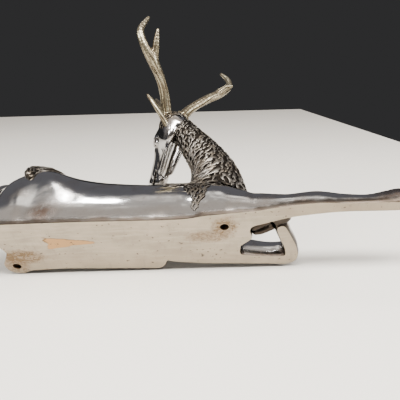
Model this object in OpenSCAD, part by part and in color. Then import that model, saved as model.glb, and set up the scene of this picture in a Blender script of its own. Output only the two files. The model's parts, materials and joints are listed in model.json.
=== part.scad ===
// Leaping stag hood ornament: a plated mascot built up from separate castings.
// Millimetres. The flat belly lies in the plane z = 0 with the mouth of the
// front stud hole at the origin. +X points to the front hoof, +Y to the stag's
// left and +Z up through its back.

/* [Mounting] */
// Distance from the front stud hole back to the rear one
hole_pitch = 129; // [126:1:130]
// How far the rear stud hole sits to the left of the front one
hole_offset = 31; // [29:1:32]
// Bore of both tapped stud holes, for a quarter inch stud
stud_hole_d = 5.1; // [4:0.1:6]
// Depth of both stud holes
stud_hole_depth = 14; // [8:1:16]

/* [Body] */
// Width of the torso where it is widest
body_w = 56; // [54:1:58]
// Height of the back above the belly
back_h = 42; // [40:1:46]
// Height of the rump above the belly
rump_h = 58; // [56:1:61]
// Height of the flat seat where the neck stands on the shoulders
neck_seat = 30; // [28:1:32]

/* [Head] */
// Turn of the head from straight ahead towards the left
head_turn = 110; // [100:5:120]
// Pitch of the head down from level
head_pitch = 22; // [10:2:30]
// Roll of the head, crown towards the tail
head_roll = 23; // [15:1:30]
// Length of the head from poll to nose
head_l = 60; // [54:1:62]
// Length of each ear
ear_l = 29; // [24:1:32]

/* [Legs] */
// Reach of the extended front hoof ahead of the front stud hole
front_reach = 124; // [120:1:130]
// Reach of the hind hooves behind the front stud hole
rear_reach = 178; // [174:1:184]

/* [Dowels] */
// Diameter of the large dowels in the neck and the hind legs
dowel_d = 6; // [4:0.5:7]
// Diameter of the small pins in the antlers and the front legs
pin_d = 3; // [2:0.25:3.5]

/* [Hidden] */

big = 400;
body_y = 13;                       // the stag's middle plane
rear_x = -hole_pitch - 2;          // plane where the right hind leg is joined on
lobe_r = 7.5;                      // boss around the rear stud hole
elbow_x = -34;                     // front of the belly's left flank
elbow_y = 25;                      // plane where the folded foreleg is joined on
skull = [-31, -3, 97];             // centre of the skull
antler_l_root = [-36, -8, 103];
antler_r_root = [-26, -6, 105];
fit = 0.05;                        // clearance round each dowel, except in the torso, which grips it

// Catmull-Rom curve through rows of numbers, n points to each stretch.
function at(p, i) = p[max(0, min(len(p) - 1, i))];
function blend4(a, b, c, d, t) =
    b + t * ((c - a) / 2 + t * (a - 2.5 * b + 2 * c - d / 2 + t * (1.5 * b - a / 2 - 1.5 * c + d / 2)));
function curve(p, n) = [
    for (i = [0 : len(p) - 2]) for (k = [0 : n - 1])
        blend4(at(p, i - 1), at(p, i), at(p, i + 1), at(p, i + 2), k / n),
    at(p, len(p) - 1)
];

// One ellipse of the torso: row is [x, centre y, centre z, half width, half height].
function hoop(row, sides) = [
    for (i = [0 : sides - 1])
        let (a = 360 * i / sides)
        [row[0], row[1] + row[3] * cos(a), row[2] + row[4] * sin(a)]
];

// Closed skin over a list of rings that all have the same number of points.
module skin(rings) {
    n = len(rings[0]);
    last = len(rings) - 1;
    polyhedron(
        points = [for (r = rings) for (p = r) p],
        faces = concat(
            [[for (i = [n - 1 : -1 : 0]) i]],
            [for (j = [0 : last - 1]) for (i = [0 : n - 1])
                [j * n + i, j * n + (i + 1) % n, (j + 1) * n + i]],
            [for (j = [0 : last - 1]) for (i = [0 : n - 1])
                [(j + 1) * n + i, j * n + (i + 1) % n, (j + 1) * n + (i + 1) % n]],
            [[for (i = [0 : n - 1]) last * n + i]]
        )
    );
}

// A limb swept through rows of [x, y, z, rx, ry, rz].
module limb(rows, n = 3, sides = 16) {
    r = curve(rows, n);
    for (i = [0 : len(r) - 2])
        hull() {
            ball(r[i], sides);
            ball(r[i + 1], sides);
        }
}

module ball(row, sides) {
    translate([row[0], row[1], row[2]])
        scale([row[3], row[4], row[5]])
            sphere(1, $fn = sides);
}

module on_head() {
    translate(skull) rotate([-head_roll, head_pitch, head_turn]) children();
}

// Torso

// Outline of the ground belly: flanks, chest, elbow step and the boss at the rear.
module belly_outline() {
    rear = [-hole_pitch, hole_offset];
    polygon(concat(
        [[14, -10.5], [0, -10.5], [-14, -9], [-20, -6.8], [-70, -8], [-92, -7.8], [rear_x, -7]],
        [[rear_x, hole_offset - 12.5]],
        [for (a = [215 : -15 : 80]) rear + lobe_r * [cos(a), sin(a)]],
        [[-103, 35], [-78, 36], [-40, 38], [elbow_x - 2.5, 33.5], [elbow_x, elbow_y]],
        [[10, elbow_y], [10, 17.5], [17, 10.5], [15, 5], [14, 0]]
    ));
}

module body_shape() {
    w = body_w / 2;
    rows = [
        [24, 7, 10, w - 10, 13],
        [10, 10, 11, w - 1, 18],
        [-15, body_y, back_h - 29, w, 26],
        [-45, body_y + 1, back_h - 27, w, 27],
        [-75, body_y + 1, back_h - 24, w - 0.5, 29],
        [-97, body_y, rump_h - 38, w - 1, 33],
        [-112, body_y - 1, rump_h - 35, w - 1.5, 35],
        [-126, body_y - 1, rump_h - 41, w - 2, 33],
        [-150, body_y, 15, w - 5, 22]
    ];
    skin([for (r = curve(rows, 3)) hoop(r, 28)]);
}

// The torso casting before it is drilled.
module torso_blank() {
    difference() {
        intersection() {
            linear_extrude(height = 90) belly_outline();
            body_shape();
        }
        translate([elbow_x + 4, -big / 2, neck_seat]) cube([big, big, big]);
    }
}

module stud_hole() {
    translate([0, 0, -1]) cylinder(d = stud_hole_d, h = stud_hole_depth + 1, $fn = 48);
}

module torso() {
    color("silver")
        difference() {
            torso_blank();
            stud_hole();
            translate([-hole_pitch, hole_offset, 0]) stud_hole();
            neck_pin(dowel_d);
            foreleg_pin(pin_d);
            elbow_pin(pin_d);
            hind_pin_right(dowel_d);
            hind_pin_left(dowel_d);
            tail_peg(pin_d);
        }
}

// Dowels. Each shape takes its diameter, so that its seats can be a little wider.

module rod(from, along, length, d) {
    yaw = atan2(along[1], along[0]);
    tilt = acos(along[2] / norm(along));
    translate(from) rotate([0, tilt, yaw]) cylinder(d = d, h = length, $fn = 48);
}

module neck_pin(d) { rod([-8, 10, neck_seat - 12], [0, 0, 1], 26, d); }
module head_pin(d) { rod([-21, -2, 86], [-6, -2, 12], 17, d); }
module foreleg_pin(d) { rod([5, -6, 8.5], [1, 0, 0], 22, d); }
module elbow_pin(d) { rod([-14, 17, 9], [0, 1, 0], 14, d); }
module hind_pin_right(d) { rod([rear_x + 12, 5.5, 20], [-1, 0, 0], 24, d); }
module hind_pin_left(d) { rod([-122, 27, 36], [-12, 1, 10], 22, d); }
module tail_peg(d) { rod([-116, 1, rump_h - 20], [0, 0, 1], 14, d); }
module antler_peg_left(d) { rod(antler_l_root - [-1, -6, 2], [0, -10, 7], 14, d); }
module antler_peg_right(d) { rod(antler_r_root - [3, -2, 6], [5, -2, 9], 14, d); }

module neck_dowel() { color("dimgray") neck_pin(dowel_d); }
module head_dowel() { color("dimgray") head_pin(dowel_d); }
module foreleg_dowel() { color("dimgray") foreleg_pin(pin_d); }
module elbow_dowel() { color("dimgray") elbow_pin(pin_d); }
module hind_dowel_right() { color("dimgray") hind_pin_right(dowel_d); }
module hind_dowel_left() { color("dimgray") hind_pin_left(dowel_d); }
module tail_pin() { color("dimgray") tail_peg(pin_d); }
module antler_pin_left() { color("dimgray") antler_peg_left(pin_d); }
module antler_pin_right() { color("dimgray") antler_peg_right(pin_d); }

// Neck and head

module neck_mane() {
    color("gray")
        difference() {
            limb([
                [-1.5, 10, neck_seat + 3, 19, 17, 7],
                [-2.2, 7.5, 48, 16.5, 16, 8],
                [-4.8, 5, 60, 14.2, 14, 8],
                [-11, 2.5, 72, 12.5, 12.5, 8],
                [-18.2, -0.5, 83, 10.2, 11, 8],
                [-24.5, -3, 95, 8.5, 9.5, 9]
            ], n = 3, sides = 20);
            translate([-big / 2, -big / 2, neck_seat - big]) cube(big);
            torso_blank();
            head_shape();
            neck_pin(dowel_d + fit);
            head_pin(dowel_d + fit);
        }
}

// Head in its own frame: +X to the nose, +Y to the stag's left, +Z to the crown.
module head_shape() {
    tip = head_l - 16;
    on_head() limb([
        [-3, 0, 0, 8, 10.5, 11],
        [8, 0, 0, 9, 10.5, 11.5],
        [20, 0, -1, 8, 8.5, 10],
        [tip - 10, 0, -3, 7, 6.5, 7.5],
        [tip, 0, -4, 6.5, 6.5, 6.5]
    ], n = 2, sides = 20);
}

module head() {
    color("silver")
        difference() {
            head_shape();
            head_pin(dowel_d + fit);
            antler_peg_left(pin_d + fit);
            antler_peg_right(pin_d + fit);
        }
}

// A pointed ear along a line from the side of the skull; side is 1 for left.
module ear(side, along) {
    step = ear_l / norm(along) * along;
    root = [-1, 9 * side, -3];
    color("tan")
        difference() {
            on_head() limb([
                for (k = [[0, 2.5, 2.2], [0.25, 4, 2.5], [0.55, 3.8, 2], [0.85, 2, 1.3], [1, 0.8, 0.8]])
                    [for (v = root + k[0] * step) v, k[1], k[2], k[1]]
            ], n = 2, sides = 12);
            head_shape();
        }
}

module ear_left() { ear(1, [-15, 12, 14]); }
module ear_right() { ear(-1, [-2, -13, 24]); }

// Antlers. Rows are [x, y, z, r] of the beam, the upper tine and the brow tine.

module tapered(rows, n) {
    limb([for (r = rows) [r[0], r[1], r[2], r[3], r[3], r[3]]], n = n, sides = 12);
}

module antler_left() {
    color("tan")
        difference() {
            union() {
                tapered([
                    concat(antler_l_root, 3.8), [-37, -21, 111, 3.5], [-39.5, -34, 115, 3.3],
                    [-44, -46, 117, 3.5], [-49, -56, 121, 2.7], [-51, -63, 128, 2.3], [-46, -67, 139, 1.2]
                ], n = 2);
                tapered([[-43, -43, 117, 2.6], [-41, -54, 122, 2.3], [-39, -63, 127, 1]], n = 2);
                tapered([[-38, -14, 108, 2.2], [-43, -9, 122, 1.8], [-46, -7, 131, 0.9]], n = 2);
            }
            head_shape();
            antler_peg_left(pin_d + fit);
        }
}

module antler_right() {
    color("tan")
        difference() {
            union() {
                tapered([
                    concat(antler_r_root, 3.8), [-19, -7, 115, 3.4], [-8, -7, 127, 3.2],
                    [5, -6, 139, 3.3], [13, -5, 151, 2.6], [13, -6, 161, 2.1], [8, -7, 170, 1.2]
                ], n = 2);
                tapered([[4, -7, 138, 2.5], [10, -10.5, 140, 2.1], [14.5, -13, 138, 0.9]], n = 2);
                tapered([[-21, -6, 111, 2.2], [-25, 3, 122, 1.8], [-28, 7, 130, 0.9]], n = 2);
            }
            head_shape();
            antler_peg_right(pin_d + fit);
        }
}

// Tail and legs

module tail() {
    color("gray")
        difference() {
            limb([
                [-102, 9, rump_h - 8, 4, 6, 3.5],
                [-110, 5, rump_h - 5, 5, 6.5, 4.2],
                [-117, 0, rump_h - 7.5, 5, 6, 4.5],
                [-120.5, -5.5, rump_h - 12.5, 4, 4.5, 4.5],
                [-119.5, -9.5, rump_h - 18, 2.2, 2.6, 3]
            ], n = 3, sides = 14);
            torso_blank();
            tail_peg(pin_d + fit);
        }
}

module foreleg_right() {
    color("silver")
        difference() {
            limb([
                [4, -3, 8, 9, 8, 13],
                [20, -7, 6, 6, 6.5, 12],
                [36, -11, 4, 5, 5.2, 8.5],
                [52, -13, 4, 5, 4.6, 8.5],
                [66, -13.2, 3.5, 4, 3.8, 6.5],
                [80, -13.2, 3.5, 4, 3.8, 6.5],
                [92, -13, 5.5, 4.4, 4.2, 8],
                [99, -13, 7.5, 5, 4.6, 8.5],
                [109, -13, 6, 4.6, 4.4, 7.5],
                [front_reach - 5, -13, 4, 5, 5, 6]
            ], n = 2, sides = 14);
            translate([-big / 2, -big / 2, -big]) cube(big);
            torso_blank();
            foreleg_pin(pin_d + fit);
        }
}

// The folded foreleg runs forward to the knee and doubles back to the chest.
module foreleg_left() {
    color("silver")
        difference() {
            limb([
                [-31, 26, 10, 6.5, 7, 13],
                [-12, 27, 9, 7, 9, 13],
                [8, 30, 7, 6, 6, 10.5],
                [28, 32, 5.5, 5, 4.5, 8.5],
                [41, 31.5, 5.5, 5.2, 5.5, 8.5],
                [41, 22, 5, 4.4, 5, 7.5],
                [35.5, 9, 5, 4.2, 4.2, 7],
                [30, -0.5, 5.5, 4.8, 4.8, 7.5],
                [24.5, 3, 5.5, 4.2, 4.2, 6],
                [19.5, 6, 5.5, 4.4, 4.4, 5.5]
            ], n = 2, sides = 14);
            translate([-big / 2, -big / 2, -big]) cube(big);
            torso_blank();
            foreleg_right();
            elbow_pin(pin_d + fit);
        }
}

module hind_leg_right() {
    color("silver")
        difference() {
            limb([
                [-126, 5.5, 20, 9, 12, 28],
                [-139, 5, 18, 9, 10, 22],
                [-150, 4.5, 14, 6, 7, 15],
                [-159, 4, 11, 5, 5, 12],
                [-166, 4, 8, 4, 4, 8],
                [4.6 - rear_reach, 4, 5.5, 4.6, 4.6, 6]
            ], n = 2, sides = 16);
            translate([-big / 2, -big / 2, -big]) cube(big);
            torso_blank();
            hind_pin_right(dowel_d + fit);
        }
}

module hind_leg_left() {
    color("silver")
        difference() {
            limb([
                [-122, 26, 36, 10, 10, 18],
                [-134, 27, 46, 9, 9, 15],
                [-146, 28, 56, 7, 7, 12],
                [-156, 28.5, 64, 5.5, 5.5, 8.5],
                [-166, 28, 62, 4, 4, 5],
                [4.6 - rear_reach, 27, 59, 4.6, 4.6, 5]
            ], n = 2, sides = 16);
            torso_blank();
            hind_leg_right();
            tail();
            hind_pin_left(dowel_d + fit);
        }
}

torso();
neck_mane();
head();
ear_left();
ear_right();
antler_left();
antler_right();
tail();
foreleg_right();
foreleg_left();
hind_leg_right();
hind_leg_left();
neck_dowel();
head_dowel();
foreleg_dowel();
elbow_dowel();
hind_dowel_right();
hind_dowel_left();
tail_pin();
antler_pin_left();
antler_pin_right();
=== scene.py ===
import json
import math

import bmesh
import bpy
import numpy as np
from mathutils import Matrix, Vector


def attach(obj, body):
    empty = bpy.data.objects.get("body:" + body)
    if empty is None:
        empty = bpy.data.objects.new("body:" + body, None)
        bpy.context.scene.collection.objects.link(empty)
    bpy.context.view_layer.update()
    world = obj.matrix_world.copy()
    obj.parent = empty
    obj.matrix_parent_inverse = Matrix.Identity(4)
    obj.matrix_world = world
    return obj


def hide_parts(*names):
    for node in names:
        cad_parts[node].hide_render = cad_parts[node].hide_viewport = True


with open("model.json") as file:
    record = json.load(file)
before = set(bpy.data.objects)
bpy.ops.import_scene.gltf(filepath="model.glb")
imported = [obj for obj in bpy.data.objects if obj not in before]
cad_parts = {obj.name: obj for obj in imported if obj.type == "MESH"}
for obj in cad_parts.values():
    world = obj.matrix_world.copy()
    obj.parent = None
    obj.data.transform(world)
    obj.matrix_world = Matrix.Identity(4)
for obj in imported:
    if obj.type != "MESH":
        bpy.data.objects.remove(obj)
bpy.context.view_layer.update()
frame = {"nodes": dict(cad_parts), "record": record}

# Leaping stag hood ornament. Shapes are worked out in millimetres in the row frame: the ground
# belly lies in z = 0, +X points to the front hoof, +Y to the stag's left and +Z through its back.

MM = 0.001
FAR = 1000.0                       # distance far outside any shape
MARGIN = 9.0                       # how far round a stroke its distance is worked out
BODY_STEP = 0.8
FINE_STEP = 0.4

MOUNTS = {m["name"]: m for m in frame["record"]["mounts"]}
FRONT_HOLE = np.array(MOUNTS["front_stud_hole"]["pos_m"]) / MM
REAR_HOLE = np.array(MOUNTS["rear_stud_hole"]["pos_m"]) / MM
HOLES = (FRONT_HOLE, REAR_HOLE)
HOLE_R = MOUNTS["rear_stud_hole"]["dims"]["r_mm"]
HOLE_DEPTH = MOUNTS["rear_stud_hole"]["dims"]["length_mm"]
THREAD_PITCH = 1.27
HARD_EDGE = math.radians(32)       # a sharper fold than this is not shaded smooth
SEAM_X = -131.0                    # plane where the hind legs are joined on
ELBOW = np.array([-34.0, 25.0])    # corner where the folded foreleg is joined on
NECK_SEAT = 30.0                   # height at which the neck stands on the torso
BULGE = 2.4                        # how far the flanks swell out past the ground belly
BULGE_Z = 14.0                     # height at which they are that far out
TONGUE_X, TONGUE_TIP = -16, 9      # x and z where the hair on each shoulder narrows to a point
# The tongue's strands get lower heights, so more of the hair's painted shade.
TONGUE_SHADE = 0.68                # how bright its strands are, against the mane's
STEPS_PER_STRETCH = 5              # pieces that each stretch of a limb is swept in
POLISHED_STEPS = 12                # the same where mirror polish would show the joins

HEAD_PLACE = Matrix.Translation((-31, -3, 97)) @ (
    Matrix.Rotation(math.radians(113), 4, "Z")
    @ Matrix.Rotation(math.radians(22), 4, "Y")
    @ Matrix.Rotation(math.radians(-23), 4, "X"))


# Curves and distance fields

def spline(rows, steps):
    """Catmull-Rom curve through rows of numbers, with that many steps to each stretch."""
    rows = np.asarray(rows, float)
    padded = np.vstack([rows[:1], rows, rows[-1:]])
    out = []
    for i in range(len(rows) - 1):
        a, b, c, d = padded[i:i + 4]
        for t in np.arange(steps) / steps:
            cubic = 1.5 * b - a / 2 - 1.5 * c + d / 2
            out.append(b + t * ((c - a) / 2 + t * (a - 2.5 * b + 2 * c - d / 2 + t * cubic)))
    return np.array(out + [rows[-1]])


def soft_min(a, b, soft):
    if soft <= 0:
        return np.minimum(a, b)
    h = np.maximum(soft - np.abs(a - b), 0) / soft
    return np.minimum(a, b) - h * h * soft / 4


def soft_max(a, b, soft):
    return -soft_min(-a, -b, soft)


def oval_distance(offsets, radii):
    """Signed distance to an ellipsoid or elliptical section, near enough for blending."""
    near = sum((d / r) ** 2 for d, r in zip(offsets, radii)) ** 0.5
    slope = sum((d / (r * r)) ** 2 for d, r in zip(offsets, radii)) ** 0.5
    return near * (near - 1) / np.maximum(slope, 1e-6)


class Block:
    """A box of space cut into a regular grid, with a signed distance at each of its points."""

    def __init__(self, low, high, step):
        self.low, self.step = np.array(low, float), step
        counts = [int(math.ceil((h - l) / step)) + 1 for l, h in zip(low, high)]
        self.axes = [self.low[i] + step * np.arange(n) for i, n in enumerate(counts)]
        self.values = self.blank()

    def blank(self):
        return np.full([len(a) for a in self.axes], FAR, np.float32)

    def window(self, low, high):
        """The slices of the grid inside a box, and their x, y and z."""
        cut = tuple(slice(*np.searchsorted(a, [l, h])) for a, l, h in zip(self.axes, low, high))
        x, y, z = (a[c] for a, c in zip(self.axes, cut))
        return cut, x[:, None, None], y[None, :, None], z[None, None, :]

    def everywhere(self):
        return self.window(self.low - 1, [a[-1] + 1 for a in self.axes])

    def add_oval(self, centre, radii, soft, carve=False):
        centre, radii = np.array(centre, float), np.array(radii, float)
        cut, x, y, z = self.window(centre - radii - MARGIN, centre + radii + MARGIN)
        d = oval_distance((x - centre[0], y - centre[1], z - centre[2]), radii)
        self.join(cut, d, soft, carve)

    def join(self, cut, d, soft, carve=False):
        here = self.values[cut]
        self.values[cut] = soft_max(here, -d, soft) if carve else soft_min(here, d, soft)

    def limb(self, rows, steps):
        """Distance to a limb swept through rows of [x, y, z, rx, ry, rz]."""
        values = self.blank()
        path = spline(rows, steps)
        for a, b in zip(path, path[1:]):
            reach = np.maximum(a[3:], b[3:]) + MARGIN
            low, high = np.minimum(a[:3], b[:3]) - reach, np.maximum(a[:3], b[:3]) + reach
            cut, x, y, z = self.window(low, high)
            along = b[:3] - a[:3]
            t = (x - a[0]) * along[0] + (y - a[1]) * along[1] + (z - a[2]) * along[2]
            t = np.clip(t / (along @ along), 0, 1)
            offsets = [p - a[i] - t * along[i] for i, p in enumerate((x, y, z))]
            radii = [a[3 + i] + t * (b[3 + i] - a[3 + i]) for i in range(3)]
            values[cut] = soft_min(values[cut], oval_distance(offsets, radii), 0.5)
        return values

    def add_limb(self, rows, soft, carve=False, steps=STEPS_PER_STRETCH):
        self.join(slice(None), self.limb(rows, steps), soft, carve)

    def sample(self, points):
        """Values between grid points, by trilinear interpolation."""
        place = (points - self.low) / self.step
        base = np.clip(place.astype(int), 0, np.array(self.values.shape) - 2)
        part = place - base
        total = 0
        for i in (0, 1):
            for j in (0, 1):
                for k in (0, 1):
                    share = (np.abs(1 - i - part[:, 0]) * np.abs(1 - j - part[:, 1])
                             * np.abs(1 - k - part[:, 2]))
                    total = total + share * self.values[base[:, 0] + i, base[:, 1] + j, base[:, 2] + k]
        return total

    def normals(self, points):
        steps = np.eye(3) * self.step
        slope = np.stack([self.sample(points + s) - self.sample(points - s) for s in steps], 1)
        return slope / np.maximum(np.linalg.norm(slope, axis=1, keepdims=True), 1e-9)

    def settle(self, points):
        """Moves points that are near the surface onto it."""
        return points - self.sample(points)[:, None] * self.normals(points)

    def skin(self):
        """Points and quads of the closed surface where the distance is nought (surface nets)."""
        inside = self.values < 0
        cells = np.array(inside.shape) - 1
        corners = [(i, j, k) for i in (0, 1) for j in (0, 1) for k in (0, 1)]

        def at(corner, grid):
            return grid[tuple(slice(c, c + n) for c, n in zip(corner, cells))]

        count = sum(at(c, inside).astype(np.int8) for c in corners)
        busy = (count > 0) & (count < 8)
        number = np.full(cells, -1)
        number[busy] = np.arange(busy.sum())
        total, hits = np.zeros((busy.sum(), 3)), np.zeros(busy.sum())
        for corner in corners:
            for axis in range(3):
                if corner[axis]:
                    continue
                other = tuple(1 if i == axis else c for i, c in enumerate(corner))
                first, second = at(corner, self.values)[busy], at(other, self.values)[busy]
                crossing = (first < 0) != (second < 0)
                point = np.tile(np.array(corner, float), (crossing.sum(), 1))
                point[:, axis] += first[crossing] / (first[crossing] - second[crossing])
                total[crossing] += point
                hits[crossing] += 1
        points = self.low + self.step * (np.argwhere(busy) + total / hits[:, None])
        quads = []
        for axis in range(3):
            u, v = (axis + 1) % 3, (axis + 2) % 3
            ahead = [slice(1, -1)] * 3
            ahead[axis] = slice(0, -1)
            beyond = list(ahead)
            beyond[axis] = slice(1, None)
            first, second = inside[tuple(ahead)], inside[tuple(beyond)]
            edge = np.argwhere(first != second) + [0 if i == axis else 1 for i in range(3)]
            back_u, back_v = np.eye(3, dtype=int)[u], np.eye(3, dtype=int)[v]
            ring = [number[tuple((edge - s).T)] for s in (0 * back_u, back_u, back_u + back_v, back_v)]
            ring = np.stack(ring, 1)
            leaving = inside[tuple(edge.T)]
            quads.append(np.where(leaving[:, None], ring, ring[:, ::-1]))
        return points, np.vstack(quads)


# Meshes

def new_piece(name, points, faces):
    """A smooth piece, from points in millimetres and a list of faces."""
    mesh = bpy.data.meshes.new(name)
    mesh.from_pydata((np.asarray(points) * MM).tolist(), [], faces)
    mesh.polygons.foreach_set("use_smooth", [True] * len(mesh.polygons))
    mesh.update()
    piece = bpy.data.objects.new(name, mesh)
    bpy.context.scene.collection.objects.link(piece)
    return piece


def cast(name, block, rounds):
    """The block's surface as a piece, evened out and settled back onto the surface."""
    points, quads = block.skin()
    ends = np.vstack([quads[:, [i, (i + 1) % 4]] for i in range(4)])
    for _ in range(rounds):
        total = np.zeros_like(points)
        np.add.at(total, ends[:, 0], points[ends[:, 1]])
        count = np.bincount(ends[:, 0], minlength=len(points))
        points = block.settle(0.5 * points + 0.5 * total / count[:, None])
    return new_piece(name, points, quads.tolist())


def prism(outline, low, high):
    """An upright solid over an outline, to cut with."""
    n = len(outline)
    points = [[x, y, z] for z in (low, high) for x, y in outline]
    sides = [[i, (i + 1) % n, n + (i + 1) % n, n + i] for i in range(n)]
    tool = new_piece("tool", points, sides + [list(range(n))[::-1], list(range(n, 2 * n))])
    bm = bmesh.new()
    bm.from_mesh(tool.data)
    bmesh.ops.recalc_face_normals(bm, faces=bm.faces)
    bm.to_mesh(tool.data)
    bm.free()
    return tool


def combine(piece, tool, operation):
    modifier = piece.modifiers.new("cut", "BOOLEAN")
    modifier.operation, modifier.solver, modifier.object = operation, "MANIFOLD", tool
    bake(piece)


def bake(piece):
    """Replaces a piece's mesh with what its modifiers make of it."""
    bpy.context.view_layer.update()
    graph = bpy.context.evaluated_depsgraph_get()
    made = bpy.data.meshes.new_from_object(piece.evaluated_get(graph))
    old = piece.data
    piece.modifiers.clear()
    piece.data = made
    bpy.data.meshes.remove(old)


def copy_of(piece, name):
    twin = piece.copy()
    twin.data = piece.data.copy()
    twin.name = twin.data.name = name
    bpy.context.scene.collection.objects.link(twin)
    return twin


def drop(*tools):
    for tool in tools:
        bpy.data.objects.remove(tool)


def trim_to_belly(piece):
    """Cuts a piece off flush with the plane of the ground belly."""
    above = prism([[-200, -60], [200, -60], [200, 80], [-200, 80]], 0, 150)
    combine(piece, above, "INTERSECT")
    drop(above)


def crisp(piece):
    """Sharpens hard edges, and gives the belly the second material and the stud holes the third."""
    piece.data.materials.clear()
    bm = bmesh.new()
    bm.from_mesh(piece.data)
    bmesh.ops.remove_doubles(bm, verts=bm.verts, dist=0.004 * MM)
    bmesh.ops.dissolve_degenerate(bm, edges=bm.edges, dist=0.002 * MM)
    for face in bm.faces:
        face.smooth = True
        centre = face.calc_center_median() / MM
        flat = face.normal.z < -0.99 and centre.z < 0.02
        bore = centre.z < HOLE_DEPTH + 1 and any(
            math.hypot(centre.x - hole[0], centre.y - hole[1]) < HOLE_R + 0.6 for hole in HOLES)
        face.material_index = 1 if flat else 2 if bore else 0
    for edge in bm.edges:
        edge.smooth = len(edge.link_faces) == 2 and edge.calc_face_angle(0) < HARD_EDGE
    bm.to_mesh(piece.data)
    bm.free()


def give(piece, name, values):
    """Stores numbers, one or one for each point of a piece, for its material to read."""
    attribute = piece.data.attributes.new(name, "FLOAT", "POINT")
    values = values + np.zeros(len(attribute.data))
    attribute.data.foreach_set("value", values.astype(np.float32))


def give_hollow_shade_and_grime(piece, block):
    """Marks how far each point of a piece sits in a hollow, for painted shade there that also stands for
    the grime that would gather.
    """
    points = points_of(piece)
    clear = block.sample(points + 2.0 * block.normals(points))
    give(piece, "hollow_shade_and_grime", np.clip((1.8 - clear) / 0.85, 0, 1))


def points_of(piece):
    flat = np.zeros(len(piece.data.vertices) * 3, np.float32)
    piece.data.vertices.foreach_get("co", flat)
    return flat.reshape(-1, 3) / MM


def finish_piece(piece, slot, materials, *nodes):
    for material in materials:
        piece.data.materials.append(material)
    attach(piece, "root")
    if nodes:
        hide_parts(*nodes)


# Materials

class Nodes:
    """A tree of shader nodes, built up one node at a time."""

    def __init__(self, tree, coordinates):
        self.tree = tree
        self.place = self.node("ShaderNodeTexCoord").outputs[coordinates]

    def node(self, kind, **settings):
        made = self.tree.nodes.new(kind)
        for key, value in settings.items():
            setattr(made, key, value)
        return made

    def feed(self, socket, value):
        if isinstance(value, bpy.types.NodeSocket):
            self.tree.links.new(value, socket)
        else:
            socket.default_value = value

    def scaled(self, scale, shift=(0, 0, 0)):
        made = self.node("ShaderNodeMapping")
        self.feed(made.inputs["Vector"], self.place)
        made.inputs["Scale"].default_value = scale
        made.inputs["Location"].default_value = shift
        return made.outputs["Vector"]

    def noise(self, scale, detail=4, rough=0.55, stretch=(1, 1, 1), warp=0.0):
        made = self.node("ShaderNodeTexNoise")
        self.feed(made.inputs["Vector"], self.scaled(stretch))
        made.inputs["Scale"].default_value = scale
        made.inputs["Detail"].default_value = detail
        made.inputs["Roughness"].default_value = rough
        made.inputs["Distortion"].default_value = warp
        return made.outputs["Fac"]

    def ramp(self, value, low, high, start=0.0, end=1.0):
        """Maps value from low..high to start..end, and no further."""
        made = self.node("ShaderNodeMapRange", interpolation_type="SMOOTHSTEP")
        self.feed(made.inputs["Value"], value)
        for key, number in zip(("From Min", "From Max", "To Min", "To Max"), (low, high, start, end)):
            made.inputs[key].default_value = number
        return made.outputs["Result"]

    def mix(self, share, a, b):
        made = self.node("ShaderNodeMix", data_type="RGBA")
        self.feed(made.inputs["Factor"], share)
        self.feed(made.inputs[6], a if isinstance(a, bpy.types.NodeSocket) else (*a, 1))
        self.feed(made.inputs[7], b if isinstance(b, bpy.types.NodeSocket) else (*b, 1))
        return made.outputs[2]

    def math(self, operation, a, b=0):
        made = self.node("ShaderNodeMath", operation=operation)
        self.feed(made.inputs[0], a)
        self.feed(made.inputs[1], b)
        return made.outputs[0]

    def times(self, a, b):
        return self.math("MULTIPLY", a, b)


class Shader(Nodes):
    """A node material."""

    def __init__(self, name):
        self.material = bpy.data.materials.new(name)
        self.material.use_nodes = True
        super().__init__(self.material.node_tree, "Object")
        self.surface = self.tree.nodes["Principled BSDF"]

    def attribute(self, name):
        return self.node("ShaderNodeAttribute", attribute_name=name).outputs["Fac"]

    def axis(self, letter):
        made = self.node("ShaderNodeSeparateXYZ")
        self.feed(made.inputs[0], self.place)
        return made.outputs[letter]

    def ratio(self, letter, centre, half):
        """How far along one axis from centre, in units of half, both in millimetres."""
        return self.math("DIVIDE", self.math("SUBTRACT", self.axis(letter), centre * MM), half * MM)

    def near(self, centre, radii):
        """Distance from centre in the row frame, in units of radii, in millimetres."""
        scale = [1 / (r * MM) for r in radii]
        shift = [-c * MM * k for c, k in zip(centre, scale)]
        made = self.node("ShaderNodeVectorMath", operation="LENGTH")
        self.feed(made.inputs[0], self.scaled(scale, shift))
        return made.outputs["Value"]

    def low_down(self, noise, waver, low, high):
        """1 beside the belly's plane and 0 above, with a wavering edge; all in millimetres."""
        height = self.math("ADD", self.axis("Z"), self.times(noise, waver * MM))
        return self.ramp(height, low * MM, high * MM, 1, 0)

    def paint(self, under, share, strength, over):
        """Covers one colour with another, by share times strength."""
        return self.mix(self.times(share, strength), under, over)

    def bump(self, *layers):
        """Stacks (height, strength, distance in millimetres) layers."""
        normal = None
        for height, strength, distance in layers:
            made = self.node("ShaderNodeBump")
            made.inputs["Strength"].default_value = strength
            made.inputs["Distance"].default_value = distance * MM
            self.feed(made.inputs["Height"], height)
            if normal is not None:
                self.feed(made.inputs["Normal"], normal)
            normal = made.outputs["Normal"]
        self.feed(self.surface.inputs["Normal"], normal)

    def done(self, colour, metallic, roughness):
        self.feed(self.surface.inputs["Base Color"], colour)
        self.feed(self.surface.inputs["Metallic"], metallic)
        self.feed(self.surface.inputs["Roughness"], roughness)
        return self.material


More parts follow.
